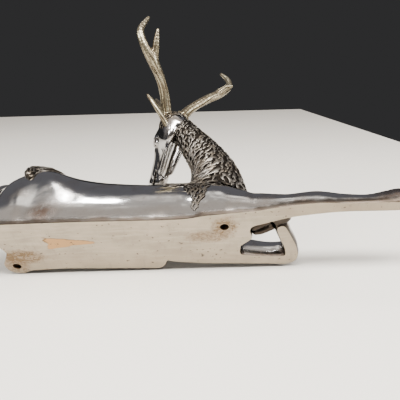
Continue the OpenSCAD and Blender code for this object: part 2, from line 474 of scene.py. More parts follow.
def plated_chrome():
    """Worn plate: hazy, scratched and flecked, stained, grimy near the belly, with grime and painted
    shade at the belly's edge and in hollows.
    """
    s = Shader("plated_chrome")
    haze = s.ramp(s.noise(60, 5), 0.45, 0.72)
    colour = s.mix(haze, (0.59, 0.585, 0.58), (0.49, 0.458, 0.43))
    grime = s.low_down(s.noise(110, 6, 0.6), 14, 7, 11)
    colour = s.paint(colour, grime, 0.8, (0.25, 0.19, 0.16))
    mottle = s.noise(300, 7, 0.75)
    stain = 0.0
    for centre, radii in (((-104, -11, 7), (10, 14, 9)), ((94, -14, 4), (15, 12, 12))):
        blot = s.ramp(s.math("ADD", s.near(centre, radii), mottle), 0.75, 1.8, 1, 0)
        stain = s.math("MAXIMUM", stain, blot)
    stain = s.times(stain, s.ramp(mottle, 0.36, 0.58, 0.45, 1))
    colour = s.paint(colour, stain, 0.92, (0.15, 0.10, 0.075))
    # Grime and painted shade: a near-black band along the belly's edge, which also hides the floor's
    # reflection there.
    edge_grime_and_shade = s.low_down(s.noise(240, 5, 0.6), 3, 3.2, 5.4)
    colour = s.paint(colour, edge_grime_and_shade, 0.93, (0.045, 0.036, 0.028))
    # Painted shade in hollows, which also darkens them as grime there would.
    colour = s.paint(colour, s.attribute("hollow_shade_and_grime"), 0.85, (0.10, 0.08, 0.07))
    colour = s.paint(colour, s.ramp(s.noise(900, 3), 0.66, 0.74), 0.5, (0.2, 0.17, 0.15))
    dirt = s.math("MAXIMUM", s.math("MAXIMUM", grime, stain), edge_grime_and_shade)
    rough = s.math("ADD", s.ramp(haze, 0, 1, 0.09, 0.2), s.times(dirt, 0.22))
    scratch = s.noise(260, 6, 0.6, (0.25, 3, 3), 1.2)
    s.bump((s.noise(45, 2), 0.35, 0.8), (s.noise(170, 2), 0.15, 0.15), (scratch, 0.12, 0.05))
    return s.done(colour, 1.0, rough)


def ground_belly():
    """Dull ground metal with a brass patch, crusts of rust round the stud holes, and pits."""
    s = Shader("ground_belly")
    cloud = s.noise(40, 5, 0.6)
    colour = s.mix(s.ramp(cloud, 0.35, 0.68), (0.46, 0.40, 0.325), (0.36, 0.312, 0.25))
    streak = s.noise(330, 6, 0.65, (0.12, 1.0, 1), 0.3)
    colour = s.mix(s.ramp(streak, 0.42, 0.7, 0, 0.55), colour, (0.60, 0.53, 0.44))
    forward = s.ramp(s.axis("X"), 10 * MM, 60 * MM)
    leftward = s.ramp(s.axis("Y"), 10 * MM, 36 * MM, 0, 0.8)
    colour = s.paint(colour, s.math("MAXIMUM", forward, leftward), 0.55, (0.35, 0.29, 0.215))
    cross = s.noise(300, 6, 0.65, (1.0, 0.16, 1), 0.3)
    colour = s.mix(s.ramp(cross, 0.52, 0.78, 0, 0.5), colour, (0.30, 0.25, 0.21))
    along = s.ratio("X", -91, 14.5)
    side = s.ratio("Y", 10, 5.6)
    wedge = s.math("ADD", s.math("ABSOLUTE", side), s.times(s.math("ADD", along, 1.0), 0.42))
    ragged = s.times(s.noise(330, 5, 0.6, (0.3, 1, 1), 0.5), 0.5)
    patch = s.math("ADD", s.math("MAXIMUM", s.math("ABSOLUTE", along), wedge), ragged)
    brass = s.mix(streak, (0.44, 0.25, 0.10), (0.58, 0.37, 0.19))
    colour = s.paint(colour, s.ramp(patch, 1.15, 1.24, 1, 0), 0.9, brass)
    rim = s.ramp(s.math("ABSOLUTE", s.math("SUBTRACT", patch, 1.2)), 0.0, 0.09, 0.9, 0)
    rim = s.times(rim, s.ramp(side, -0.3, 0.1, 1, 0.15))
    colour = s.mix(rim, colour, (0.20, 0.12, 0.05))
    speckle = s.times(s.noise(420, 6, 0.7), 0.9)
    crust = s.ramp(s.noise(260, 7, 0.75, (1, 1, 1), 1.5), 0.42, 0.56, 0.35, 1)
    rear_x, rear_y = REAR_HOLE[:2]
    for centre, radii, strength in (
            ((0, 0, 0), (9, 9, 9), 0.9), ((-9, 8, 0), (16, 6, 9), 0.65),
            ((rear_x + 5, rear_y - 9, 0), (18, 8, 9), 0.95), ((rear_x, rear_y, 0), (10, 8, 9), 0.7),
            ((-150, 3, 0), (16, 9, 9), 0.35)):
        blot = s.ramp(s.math("ADD", s.near(centre, radii), speckle), 0.95, 1.5, strength, 0)
        colour = s.mix(s.times(blot, crust), colour, (0.19, 0.12, 0.06))
    scabs = s.ramp(s.near((-9, 24, 0), (12, 8, 9)), 0.5, 1.1, 0.055, 0)
    pits = s.ramp(s.math("ADD", s.noise(330, 4, 0.6), scabs), 0.645, 0.68)
    colour = s.paint(colour, pits, 0.85, (0.10, 0.075, 0.06))
    s.bump((streak, 0.35, 0.10), (cross, 0.25, 0.08), (s.noise(25, 3), 0.3, 0.5), (pits, -0.5, 0.3))
    return s.done(colour, 0.55, s.ramp(streak, 0.3, 0.7, 0.38, 0.6))


def chased_hair():
    """Dull nickel, with painted shade where the attribute height says that a strand lies deep."""
    s = Shader("chased_hair")
    depth = s.attribute("height")
    bright = s.mix(s.ramp(s.noise(120, 4), 0.4, 0.65), (0.47, 0.44, 0.40), (0.35, 0.305, 0.25))
    # Painted shade: the deep parts of the strands, and the cores between the locks, are made near black.
    colour = s.mix(s.ramp(depth, 0.15, 0.85), (0.045, 0.038, 0.032), bright)
    s.bump((s.noise(900, 3), 0.25, 0.08))
    return s.done(colour, 1.0, s.ramp(depth, 0.2, 0.9, 0.55, 0.27))


def dull_horn():
    """Straw-coloured plate, brown in the grooves that the attribute height marks."""
    s = Shader("dull_horn")
    grain = s.attribute("height")
    straw = s.mix(s.ramp(s.noise(160, 5, 0.6), 0.38, 0.62), (0.40, 0.365, 0.27), (0.24, 0.205, 0.15))
    colour = s.mix(s.ramp(grain, 0.25, 0.8), (0.12, 0.095, 0.065), straw)
    colour = s.paint(colour, s.ramp(s.noise(1200, 4), 0.6, 0.72), 0.4, (0.17, 0.12, 0.08))
    s.bump((s.noise(700, 4), 0.3, 0.1))
    return s.done(colour, 0.85, s.ramp(grain, 0.1, 0.9, 0.5, 0.27))


def dowel_steel():
    s = Shader("dowel_steel")
    turned = s.noise(500, 4, 0.6, (1, 1, 6))
    s.bump((turned, 0.3, 0.05))
    colour = s.mix(turned, (0.36, 0.36, 0.37), (0.5, 0.5, 0.51))
    return s.done(colour, 1.0, s.ramp(turned, 0.3, 0.7, 0.25, 0.45))


def thread_steel():
    s = Shader("thread_steel")
    rust = s.noise(500, 5)
    colour = s.mix(s.ramp(rust, 0.4, 0.7), (0.10, 0.08, 0.065), (0.20, 0.11, 0.05))
    s.bump((rust, 0.4, 0.1))
    return s.done(colour, 0.7, s.ramp(rust, 0.3, 0.7, 0.35, 0.7))


CHROME = plated_chrome()
BELLY = ground_belly()
HAIR = chased_hair()
HORN = dull_horn()
STEEL = dowel_steel()
THREAD = thread_steel()


# The polished body: one blended shape, cut into its castings along their joints

BODY_ROWS = [                      # x, centre y, centre z, half width, half height
    [24, 7, 6, 18, 17], [10, 10, 6, 26, 23], [-15, 13, 8, 26.5, 31.5], [-45, 14, 10, 26, 32.5],
    [-75, 14, 11, 25.5, 36], [-97, 13, 12, 25.5, 41], [-112, 12, 14, 26, 44],
    [-126, 12, 11, 25, 40], [-150, 12, 8, 22, 27]]
NECK_ROWS = [                      # x, y, z and the three radii
    [-1.5, 10, 33, 18.8, 17, 7], [-2.2, 7.5, 48, 16.2, 15.5, 8], [-4.8, 5, 60, 13.9, 13.5, 8],
    [-11, 2.5, 72, 12.2, 12, 8], [-18.2, -0.5, 83, 9.8, 10, 8], [-24.5, -3, 94, 7.3, 8.5, 8]]
FORELEG_ROWS = [
    [4, -3, 8, 9, 8, 13], [20, -7, 6, 6, 6.5, 12], [36, -11, 4, 5, 5.2, 8.5],
    [52, -13, 4, 5, 4.6, 8.5], [66, -13.2, 3.5, 4, 3.8, 6.2], [80, -13.2, 3, 4, 3.8, 5.4],
    [92, -13, 4.5, 4.4, 4.2, 6.6], [99, -13, 5.5, 4.8, 4.6, 6.8], [107, -13, 4.5, 4.6, 4, 5.8]]
FOLDED_ROWS = [
    [-31, 26, 10, 6.5, 7, 13], [-12, 27, 9, 7, 8.5, 13], [8, 30, 7, 6, 6, 10.5],
    [28, 32, 5.5, 5, 4.5, 8.5], [41, 31.5, 5.5, 5.2, 5.5, 8.5], [41, 22, 5, 4.4, 5, 7.5],
    [36, 10, 5, 4.2, 4.2, 7], [33, 3, 5.5, 4.2, 4.2, 6.5]]
HIND_RIGHT_ROWS = [
    [-122, 5.5, 22, 14, 13, 29], [-139, 5, 18, 9, 10, 22], [-150, 4.5, 14, 6, 7, 15],
    [-159, 4, 11, 5, 5, 12], [-166, 4, 8, 4, 4, 8]]
HIND_LEFT_ROWS = [
    [-116, 24, 34, 14, 12, 20], [-134, 27, 46, 9, 9, 15], [-146, 28, 56, 7, 7, 12],
    [-156, 28.5, 64, 5.5, 5.5, 8.5], [-165, 28, 62.5, 4, 4, 5.5]]


def belly_outline():
    """The ground belly's outline: right flank, rear, boss round the rear hole, left flank, chest."""
    rear = REAR_HOLE[:2]
    flank = spline([[14, -10.5], [0, -10.5], [-11, -9.8], [-20, -8], [-32, -7.3], [-70, -8],
                    [-92, -7.8], [SEAM_X, -7]], 4)
    turns = np.radians(np.arange(215, 79, -9))
    boss = rear + 7.5 * np.stack([np.cos(turns), np.sin(turns)], 1)
    left = spline([boss[-1], [-103, 35], [-78, 36], [-40, 38]], 4)[1:]
    front = [[-36.5, 33.5], ELBOW, [10, 25], [10, 17.5], [17, 10.5], [15, 5], [14, 0]]
    return np.vstack([flank, [[SEAM_X, rear[1] - 12.5]], boss, left, front])


def outline_distance(outline, x, y):
    """Signed distance in the plane to a closed outline."""
    nearest = np.full(np.broadcast(x, y).shape, FAR ** 2)
    inside = np.zeros(nearest.shape, bool)
    for a, b in zip(outline, np.roll(outline, -1, 0)):
        ex, ey = b - a
        t = np.clip(((x - a[0]) * ex + (y - a[1]) * ey) / max(ex * ex + ey * ey, 1e-9), 0, 1)
        nearest = np.minimum(nearest, (x - a[0] - t * ex) ** 2 + (y - a[1] - t * ey) ** 2)
        crosses = (a[1] > y) != (b[1] > y)
        reach = a[0] + (y - a[1]) * ex / (ey if abs(ey) > 1e-9 else 1e-9)
        inside ^= crosses & (x < reach)
    return np.where(inside, -1, 1) * np.sqrt(nearest)


def body_block():
    block = Block((-184, -28, -4), (116, 46, 112), BODY_STEP)
    _, x, y, z = block.everywhere()
    rows = spline(BODY_ROWS[::-1], 6)
    section = [np.interp(x, rows[:, 0], rows[:, i]) for i in range(1, 5)]
    trunk = oval_distance((y - section[0], z - section[1]), (section[2], section[3]))
    trunk = soft_max(trunk, x - 19, 9)
    trunk = soft_max(trunk, SEAM_X - x - 5, 12)
    block.values = trunk.astype(np.float32)
    block.add_oval((-112, 7, 21), (23, 21.5, 27), 9)
    block.add_oval((-112, 22, 25), (22, 15, 29), 9)
    block.add_oval((-6, 2, 14), (17, 15.5, 15), 7)
    flank = outline_distance(belly_outline(), x[:, :, 0], y[:, :, 0])[:, :, None]
    rise = np.clip(z, 0, BULGE_Z) / BULGE_Z
    bulge = BULGE * (1 - (1 - rise) ** 2)
    block.values = soft_max(block.values, (flank - bulge).astype(np.float32), 5)
    boss = np.hypot(x - REAR_HOLE[0], y - REAR_HOLE[1]) - 7.3
    block.join(slice(None), soft_max(boss, z - 16, 4).astype(np.float32), 3)
    block.add_limb(NECK_ROWS, 7)
    block.add_limb(FORELEG_ROWS, 4, steps=POLISHED_STEPS)
    block.add_limb(HIND_RIGHT_ROWS, 6)
    block.add_limb(HIND_LEFT_ROWS, 8)
    block.add_limb(FOLDED_ROWS, 2.5, steps=POLISHED_STEPS)
    block.values = np.maximum(block.values, (-3 - z).astype(np.float32))
    return block


def threaded_bore(x, y):
    """A tool that cuts a coarse-threaded stud hole."""
    turns, rings, around = HOLE_DEPTH / THREAD_PITCH, 90, 28
    points = []
    for i in range(rings + 1):
        z = -0.6 + (HOLE_DEPTH + 0.6) * i / rings
        for j in range(around):
            a = 2 * math.pi * j / around
            wave = (turns * i / rings - j / around) % 1
            r = HOLE_R + 0.28 * (1 - abs(2 * wave - 1)) * (z > 0.8)
            points.append([x + r * math.cos(a), y + r * math.sin(a), z])
    faces = [[i * around + j, i * around + (j + 1) % around,
              (i + 1) * around + (j + 1) % around, (i + 1) * around + j]
             for i in range(rings) for j in range(around)]
    faces += [list(range(around))[::-1], [rings * around + j for j in range(around)]]
    return new_piece("bore", points, faces)


def body_castings(block):
    whole = cast("whole", block, 2)
    trim_to_belly(whole)
    regions = {
        "neck_mane": prism([[-30, -40], [60, -40], [60, 60], [-30, 60]], NECK_SEAT, 130),
        "foreleg_right": prism([[16, -40], [140, -40], [140, 1], [16, 1]], -5, NECK_SEAT),
        "foreleg_left": prism([ELBOW, [10, 25], [10.5, 17.5], [18, 10.5], [18, 1], [70, 1], [70, 60],
                               [ELBOW[0], 60]], -5, NECK_SEAT),
        "hind_leg_right": prism([[-200, -40], [SEAM_X, -40], [SEAM_X, 16], [-200, 16]], -5, 90),
        "hind_leg_left": prism([[-200, 16], [SEAM_X, 16], [SEAM_X, 60], [-200, 60]], 24, 90)}
    made = {}
    for node, region in regions.items():
        made[node] = copy_of(whole, node + "_casting")
        combine(made[node], region, "INTERSECT")
        combine(whole, region, "DIFFERENCE")
    for hole in HOLES:
        bore = threaded_bore(hole[0], hole[1])
        combine(whole, bore, "DIFFERENCE")
        drop(bore)
    whole.name = "torso_casting"
    made["torso"] = whole
    drop(*regions.values())
    return made


# Hooves

def hoof(place, width, height, length):
    """A cloven hoof: two toes along +X of its own frame, split apart, with a groove round the top."""
    reach = np.array([length + 6, width + 4, height + 4])
    block = Block(-reach - (2, 0, 0), reach, 0.45)
    toe = [[-length, 0.40, 0, 0.50, 0.72], [-length * 0.3, 0.48, 0, 0.56, 0.86],
           [length * 0.35, 0.46, -0.16, 0.50, 0.78], [length - 3, 0.36, -0.42, 0.36, 0.46]]
    for side in (-1, 1):
        block.add_limb([[x, side * width * out, height * up, 3, width * wide, height * high]
                        for x, out, up, wide, high in toe], 0.6)
    block.add_limb([[-length - 3, 0, 0, 3, width * 0.85, height * 0.78],
                    [-length * 0.55, 0, 0, 3, width * 0.8, height * 0.8]], 3)
    block.add_oval((-length * 0.42, 0, height * 0.1), (1.0, width * 1.6, height * 1.3), 0.8, True)
    points, quads = block.skin()
    turned = points @ np.array(place.to_3x3()).T + np.array(place.translation)
    return new_piece("hoof", turned, quads.tolist())


def add_hoof(casting, place, width, height, length, flush=False):
    made = hoof(place, width, height, length)
    if flush:
        trim_to_belly(made)
    combine(casting, made, "UNION")
    drop(made)


def facing(origin, along, up=(0, 0, 1)):
    """A placing whose +X runs along a direction and whose +Z is as near up as it can be."""
    x = Vector(along).normalized()
    y = Vector(up).cross(x).normalized()
    z = x.cross(y)
    made = Matrix((x, y, z)).transposed().to_4x4()
    made.translation = Vector(origin)
    return made


# Hair

SEGMENTS = 9
STRANDS = np.array([0.0, 0.78, 0.42, 1.0, 0.42, 0.78, 0.0])     # ridges across one lock
ACROSS = np.array([-1.0, -0.66, -0.36, 0.0, 0.36, 0.66, 1.0])


def scatter(points, spacing, seed):
    """Picks points that keep their spacing from each other: one number, or one for each point."""
    spacing = spacing + np.zeros(len(points))
    order = np.random.default_rng(seed).permutation(len(points))
    kept, gaps = np.zeros((0, 3)), np.zeros(0)
    for i in order:
        near = np.linalg.norm(kept - points[i], axis=1)
        if len(kept) == 0 or np.all(near > 0.5 * (gaps + spacing[i])):
            kept, gaps = np.vstack([kept, points[i]]), np.append(gaps, spacing[i])
    return kept


def blades(block, roots, flow, length, width, lift, sway, seed):
    """Ridged locks of hair that lie on a block's surface: their points, quads, caps and heights."""
    random = np.random.default_rng(seed)
    n = len(roots)
    length = length * random.uniform(0.8, 1.2, n)
    width = width * random.uniform(0.8, 1.2, n)
    phase, bend = random.uniform(0, 2 * np.pi, n), random.uniform(-1, 1, n)
    p = roots.copy()
    rings, heights = [], []
    for k in range(SEGMENTS + 1):
        s = k / SEGMENTS
        normal = block.normals(p)
        t = flow(p)
        t = t - (t * normal).sum(1, keepdims=True) * normal
        t /= np.maximum(np.linalg.norm(t, axis=1, keepdims=True), 1e-6)
        turn = (sway * np.sin(2 * np.pi * s + phase) + 0.5 * sway * bend)[:, None]
        side = np.cross(normal, t)
        t = np.cos(turn) * t + np.sin(turn) * side
        side = np.cross(normal, t)
        half = 0.5 * width * (0.62 + 0.38 * math.sin(math.pi * min(1, 1.4 * s))) * (1 - s ** 3) + 0.07
        rise = -0.35 + lift * s * (1 - 0.35 * s ** 4)
        thick = 0.42 * half
        across = half[:, None, None] * ACROSS[None, :, None] * side[:, None, :]
        arch = (1 - ACROSS ** 2) ** 0.5
        up = rise + thick[:, None] * (0.62 * arch + 0.5 * STRANDS * (0.4 + 0.6 * arch))[None, :]
        rings.append(p[:, None, :] + across + up[:, :, None] * normal[:, None, :])
        heights.append(np.tile(STRANDS * min(1, 0.25 + 1.5 * s), (n, 1)))
        p = block.settle(p + t * (length / SEGMENTS)[:, None])
    points = np.stack(rings, 1)
    m = len(ACROSS)
    grid = np.arange(n * (SEGMENTS + 1) * m).reshape(n, SEGMENTS + 1, m)
    ahead = np.roll(grid, -1, 2)
    quads = np.stack([grid[:, :-1], ahead[:, :-1], ahead[:, 1:], grid[:, 1:]], -1).reshape(-1, 4)
    caps = np.vstack([grid[:, 0, ::-1], grid[:, -1]])
    return points.reshape(-1, 3), quads[:, ::-1], caps[:, ::-1], np.stack(heights, 1).ravel()


def hair_piece(name, sets):
    """Joins sets of blades into one piece."""
    points, faces, heights, start = [], [], [], 0
    for p, quads, caps, h in sets:
        points.append(p)
        faces += (quads + start).tolist() + (caps + start).tolist()
        heights.append(h)
        start += len(p)
    piece = new_piece(name, np.vstack(points), faces)
    give(piece, "height", np.concatenate(heights))
    return piece


def core_points(piece, wanted):
    """The points of a piece that a test of x, y and z picks out."""
    p = points_of(piece)
    return p[wanted(p[:, 0], p[:, 1], p[:, 2])]


def mane(block, core):
    """Short locks down the neck, and long ones that sweep back from its foot."""
    skin = core_points(core, lambda x, y, z: (z > NECK_SEAT + 1.5) & (z < 103))
    low = np.clip((80 - skin[:, 2]) / 40, 0, 1)
    roots = scatter(skin, 1.8 + 0.9 * low, 11)
    fall = np.clip((82 - roots[:, 2]) / 42, 0, 1)

    def flow(p):
        left = np.clip((2 - p[:, 0]) / 16, 0, 1) * np.clip((78 - p[:, 2]) / 22, 0, 1)
        return np.stack([-1.3 * left, -0.15 * left, -1 + 0.2 * left], 1)

    short = blades(block, roots, flow, 3.8 + 4.2 * fall, 2.0 + 0.8 * fall, 1.5, 0.5, 12)

    swept = core_points(core, lambda x, y, z: (x > -14) & (x < 3) & (y < 2) & (z > 42) & (z < 56))
    swept = scatter(swept, 3.8, 13)
    long = blades(block, swept, lambda p: np.array([-1.0, 0.05, -0.62]), 14.0, 2.6, 2.0, 0.22, 14)
    return hair_piece("mane_locks", [short, long])


def shoulder_tongues(block, torso):
    """The tongue of hair that narrows to a point on each shoulder."""
    def flow(p):
        return np.stack([(TONGUE_X - p[:, 0]) * 0.06, 0 * p[:, 0], -np.ones(len(p))], 1)

    sets = []
    for side, seed in ((-1, 21), (1, 31)):
        def wanted(x, y, z):
            above = z - TONGUE_TIP
            across = np.abs(x - TONGUE_X - above * 0.08)
            return (across < 1.0 + above * 0.38) & (above > 0) & (z < 36) & ((y - 12) * side > 2)

        roots = scatter(core_points(torso, wanted), 1.6, seed)
        points, quads, caps, heights = blades(block, roots, flow, 5.2, 1.9, 1.3, 0.45, seed + 1)
        sets.append((points, quads, caps, TONGUE_SHADE * heights))
    return hair_piece("shoulder_locks", sets)


# Head, in its own frame: +X to the nose, +Y to the stag's left, +Z to the crown

LIDS = [                           # upper and lower eyelid, as rows of x, y, z and r
    [[9.8, 8.9, 2.2, 0.7], [12.4, 9.8, 4.7, 0.8], [16.2, 8.9, 4.3, 0.7], [18.8, 7.9, 1.6, 0.5]],
    [[9.8, 8.9, 2.2, 0.6], [13, 9.1, -0.7, 0.7], [18.8, 7.9, 1.2, 0.5]]]


def head_shape():
    block = Block((-16, -17, -19), (56, 17, 19), FINE_STEP)
    block.add_limb([[-3, 0, 0, 8, 10, 11], [8, 0, 0, 9, 10, 11.2], [20, 0, -1, 8, 7.6, 9.6],
                    [34, 0, -1.9, 7, 6.6, 7.9], [44, 0, -2.8, 6, 6.4, 6.7]], 2, steps=POLISHED_STEPS)
    block.add_oval((46.3, 0, -2.2), (4.0, 5.8, 5.0), 2.5)          # nose pad
    block.add_oval((41, 0, -8.2), (7.0, 3.9, 2.6), 1.6)            # chin
    for side in (-1, 1):
        block.add_oval((5, side * 6.6, -6.5), (9, 3.8, 6.6), 3)    # cheek
        block.add_oval((12.5, side * 7.6, 5.4), (6.5, 2.5, 2.4), 1.6)    # brow
        block.add_limb([[2, side * 7.4, -9.5, 2, 1.7, 2], [16, side * 6.2, -9.6, 2, 1.5, 1.8],
                        [32, side * 4.4, -8.8, 2, 1.3, 1.5]], 1.6, steps=POLISHED_STEPS)      # jaw rim
        block.add_limb([[20, side * 6.8, 1.5, 2, 1.6, 2.2], [30, side * 5.0, -2.5, 2, 1.3, 2],
                        [38, side * 4.6, -4, 2, 1.2, 1.6]], 2.2, steps=POLISHED_STEPS)        # cheek bone
        block.add_oval((14, side * 9.2, 2.2), (4.4, 2.4, 3.2), 1.2, True)    # eye socket
        block.add_oval((14, side * 7.5, 2.1), (2.9, 2.7, 2.5), 0.4)          # eyeball
        for lid in LIDS:
            block.add_limb([[x, side * y, z, r, r, r] for x, y, z, r in lid], 0.7)
        block.add_oval((48.4, side * 3.4, -0.8), (2.2, 1.2, 1.3), 0.8, True)   # nostril
        block.add_limb([[50, side * 2.5, -6.3, 0.8, 2.2, 0.45], [42, side * 5.4, -6.2, 0.8, 1.3, 0.45],
                        [34, side * 6.3, -5.2, 0.8, 1.0, 0.4]], 0.5, True)     # mouth
    block.add_limb([[3, 0, -12.5, 3, 4.4, 4.0], [18, 0, -11.4, 3, 4.2, 3.8],
                    [34, 0, -10.6, 3, 2.9, 2.5]], 1.2, True, POLISHED_STEPS)     # hollow between the jaws
    ridge = [[22, 0, 8.6, 3, 1.6, 1.1], [36, 0, 5.2, 3, 1.8, 1.0]]
    block.add_limb(ridge, 2, steps=POLISHED_STEPS)
    return block


def set_down(piece, place):
    """Moves a piece's points from its own frame to the row frame; place is in millimetres."""
    moved = place.copy()
    moved.translation = place.translation * MM
    piece.data.transform(moved)


def ear_piece(name, side, along):
    block = Block((-5, -7, -5), (33, 7, 6), 0.35)
    block.add_limb([[-2, 0, 0, 2.4, 2.2, 2.0], [6, 0, 0, 3, 3.7, 2.3], [14, 0, 0.4, 3, 3.9, 2.2],
                    [21, 0, 0.9, 2.4, 2.4, 1.6], [25.5, 0, 1.2, 0.9, 0.8, 0.7]], 0.8)
    block.add_limb([[4, 0, 2.4, 1.2, 1.5, 1.3], [9, 0, 2.7, 2, 2.6, 2.1], [14.5, 0, 2.9, 2, 2.6, 2.1],
                    [20.8, 0, 2.3, 2, 1.3, 1.2]], 0.7, True)
    block.add_limb([[5, 0, 0.2, 1, 0.5, 0.6], [14, 0, 0.4, 1, 0.5, 0.6], [20, 0, 1.0, 1, 0.4, 0.5]], 0.8)
    piece = cast(name, block, 1)
    p = points_of(piece)
    inner = np.clip((p[:, 2] - 0.2) / 1.2, 0, 1) * (np.abs(p[:, 1]) < 3)
    grain = 0.5 + 0.5 * np.sin(p[:, 1] * 5.5 + np.sin(p[:, 0] * 0.4) * 1.5)
    give(piece, "height", np.clip(0.95 - 0.55 * inner - 0.35 * grain, 0, 1))
    root = (-1, 8.4 * side, -3)
    set_down(piece, HEAD_PLACE @ facing(root, along, (0.85, 0.5 * side, 0.1)))
    return piece


# Antlers: rows are [x, y, z, r]

ANTLERS = {
    "left": [
        [[-36, -8, 103, 3.8], [-37, -21, 111, 3.5], [-39.5, -34, 115, 3.3], [-44, -46, 117, 3.5],
         [-49, -56, 121, 2.7], [-51, -63, 128, 2.3], [-46, -66.9, 139, 1.15]],
        [[-43, -43, 117, 2.6], [-41, -54, 122, 2.3], [-39, -63, 127, 1.0]],
        [[-38, -14, 108, 2.2], [-43, -9, 122, 1.8], [-46, -7, 131, 0.9]]],
    "right": [
        [[-26, -6, 105, 3.8], [-19, -7, 115, 3.4], [-8, -7, 127, 3.2], [5, -6, 139, 3.3],
         [13, -5, 151, 2.6], [13, -6, 161, 2.1], [8, -7, 169.9, 1.15]],
        [[4, -7, 138, 2.5], [10, -10.5, 140, 2.1], [14.5, -13, 138, 0.9]],
        [[-21, -6, 111, 2.2], [-25, 3, 122, 1.8], [-28, 7, 130, 0.9]]]}


def antler_piece(side):
    """An antler with a beaded coronet, its surface pressed in along grooves that follow each branch."""
    branches = ANTLERS[side]
    every = np.array([row[:3] for rows in branches for row in rows])
    block = Block(every.min(0) - 7, every.max(0) + 7, FINE_STEP)
    for rows in branches:
        block.add_limb([[x, y, z, r, r, r] for x, y, z, r in rows], 1.8)
    base, above = np.array(branches[0][0][:3], float), np.array(branches[0][1][:3], float)
    axis = (above - base) / np.linalg.norm(above - base)
    u = np.cross(axis, [0.3, 0.5, 0.8])
    u /= np.linalg.norm(u)
    v = np.cross(axis, u)
    for k in range(11):                                            # beads of the coronet
        a = 2 * math.pi * k / 11
        place = base + axis * (1.6 + 0.5 * math.sin(2.7 * k)) + 4.0 * (math.cos(a) * u + math.sin(a) * v)
        block.add_oval(place, [1.35 + 0.25 * math.sin(5.1 * k)] * 3, 0.9)
    piece = cast(f"antler_{side}_casting", block, 1)
    points, normals = points_of(piece), block.normals(points_of(piece))
    nearest, groove = np.full(len(points), FAR), np.zeros(len(points))
    for rows in branches:
        path = spline(rows, 10)
        tangents = np.gradient(path[:, :3], axis=0)
        tangents /= np.linalg.norm(tangents, axis=1, keepdims=True)
        run = np.concatenate([[0], np.cumsum(np.linalg.norm(np.diff(path[:, :3], axis=0), axis=1))])
        gap = points[:, None, :] - path[None, :, :3]
        distance = np.linalg.norm(gap, axis=2) - path[None, :, 3]
        best = distance.argmin(1)
        offset = points - path[best, :3]
        t = tangents[best]
        b = np.cross(t, u)
        b /= np.maximum(np.linalg.norm(b, axis=1, keepdims=True), 1e-6)
        angle = np.arctan2((offset * b).sum(1), (offset * np.cross(b, t)).sum(1))
        s = run[best]
        wave = (np.cos(8 * angle + 1.4 * np.sin(0.21 * s) + 0.06 * s)
                + 0.7 * np.cos(13 * angle - 1.1 * np.sin(0.33 * s + 1)))
        here = distance[np.arange(len(points)), best]
        closer = here < nearest
        fade = 1 - 0.75 * np.clip(s / run[-1], 0, 1)
        groove[closer] = (np.clip(0.5 + 0.36 * wave, 0, 1) * fade + (1 - fade) * 0.85)[closer]
        nearest[closer] = here[closer]
    points = points + normals * (0.42 * (groove - 0.7))[:, None]
    piece.data.vertices.foreach_set("co", (points * MM).astype(np.float32).ravel())
    piece.data.update()
    give(piece, "height", groove)
    return piece


def tail_pieces():
    block = Block((-132, -24, 20), (-94, 22, 66), 0.5)
    rows = [[-102, 9, 50, 4, 6, 3.5], [-110, 5, 53, 5, 6.5, 4.2], [-117, 0, 50.5, 5, 6, 4.5],
            [-120.5, -5.5, 45.5, 4, 4.5, 4.5], [-119.5, -9.5, 40, 2.2, 2.6, 3]]
    block.add_limb(rows, 1)
    core = cast("tail_casting", block, 2)
    # A low height gives the tail core between the locks the hair's painted shade.
    give(core, "height", 0.25)
    line = spline([row[:3] for row in rows] + [[-118, -13, 34]], 8)
    slopes = np.gradient(line, axis=0)

    def flow(p):
        return slopes[np.linalg.norm(p[:, None] - line[None], axis=2).argmin(1)]

    roots = core_points(core, lambda x, y, z: (z > 41) & (x < -108))
    roots = scatter(roots, 2.3, 41)
    locks = hair_piece("tail_locks", [blades(block, roots, flow, 5.5, 2.2, 0.8, 0.25, 42)])
    return core, locks


# Making

body = body_block()
castings = body_castings(body)
add_hoof(castings["foreleg_right"], facing((112.5, -13, 5.2), (1, 0, -0.02)), 5.2, 6.2, 10.5, True)
add_hoof(castings["hind_leg_right"], facing((-167.5, 4, 6), (-1, 0, -0.03)), 4.8, 6.2, 9.5, True)
add_hoof(castings["hind_leg_left"], facing((-167.5, 27.6, 60.5), (-1, -0.05, -0.22)), 4.6, 5.6, 9)
add_hoof(castings["foreleg_left"], facing((24.5, 2.6, 6.4), (-0.86, 0.5, 0)), 5.6, 6.2, 10)
neck = castings["neck_mane"]
# A low height gives the neck core between the locks the hair's painted shade.
give(neck, "height", 0.12)
for node, casting in castings.items():
    crisp(casting)
    give_hollow_shade_and_grime(casting, body)
    if node == "neck_mane":
        finish_piece(casting, "chased_hair", [HAIR], node)
    else:
        finish_piece(casting, "plated_body", [CHROME, BELLY, THREAD], node)

finish_piece(mane(body, neck), "chased_hair", [HAIR])
finish_piece(shoulder_tongues(body, castings["torso"]), "chased_hair", [HAIR])

